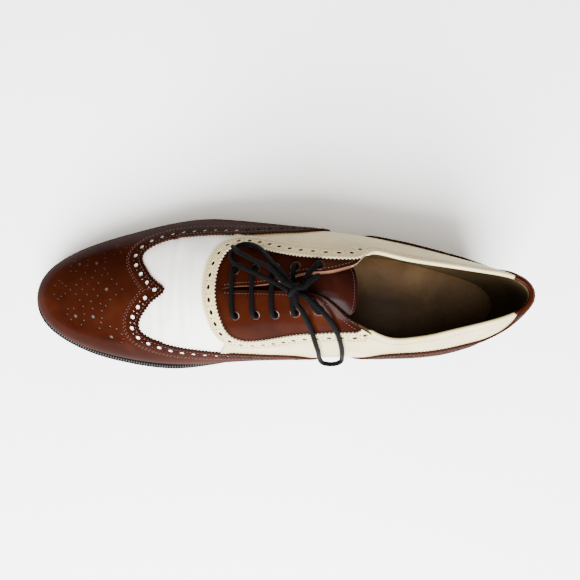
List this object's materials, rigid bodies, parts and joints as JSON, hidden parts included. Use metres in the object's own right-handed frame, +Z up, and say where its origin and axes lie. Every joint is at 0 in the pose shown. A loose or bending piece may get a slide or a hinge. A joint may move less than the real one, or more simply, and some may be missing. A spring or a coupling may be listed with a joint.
{
  "type": "wingtip oxford",
  "caption": "Right two-tone wingtip oxford in brown and white leather: round toe with perforated wing cap, closed lacing with a tied bow, welted leather sole and low heel.",
  "frame": {"origin": "middle of the shoe's box, on the floor that the heel and the tread rest on; the free bow is not counted", "axes": "+X towards the back of the heel, -X the toe; +Y towards the outer side of the right foot; +Z up"},
  "size_m": [0.3018, 0.0982, 0.1109],
  "materials": {
    "white_leather": "polished calf, softly creased",
    "brown_leather": "polished calf, burnished",
    "tongue_leather": "satin",
    "sole_leather": "waxed edge",
    "welt_leather": "waxed",
    "heel_stack": "waxed stack",
    "insole_leather": "matte",
    "lace_cotton": "round braid",
    "eyelet_metal": "aged"
  },
  "bodies": {
    "root": {"upper": "white_leather", "wing_cap": "brown_leather", "heel_foxing": "brown_leather", "facing": "brown_leather", "tongue": "tongue_leather", "outsole": "sole_leather", "heel": "heel_stack", "welt": "welt_leather", "insole": "insole_leather", "eyelet_inner_1": "eyelet_metal", "eyelet_inner_2": "eyelet_metal", "eyelet_inner_3": "eyelet_metal", "eyelet_inner_4": "eyelet_metal", "eyelet_inner_5": "eyelet_metal", "eyelet_outer_1": "eyelet_metal", "eyelet_outer_2": "eyelet_metal", "eyelet_outer_3": "eyelet_metal", "eyelet_outer_4": "eyelet_metal", "eyelet_outer_5": "eyelet_metal", "lace_bar_1": "lace_cotton", "lace_bar_2": "lace_cotton", "lace_bar_3": "lace_cotton", "lace_bar_4": "lace_cotton", "lace_bar_5": "lace_cotton", "lace_knot": "lace_cotton", "lace_loop_outer": "lace_cotton", "lace_loop_inner": "lace_cotton", "lace_end_front": "lace_cotton", "lace_end_back": "lace_cotton"}
  },
  "joints": []
}
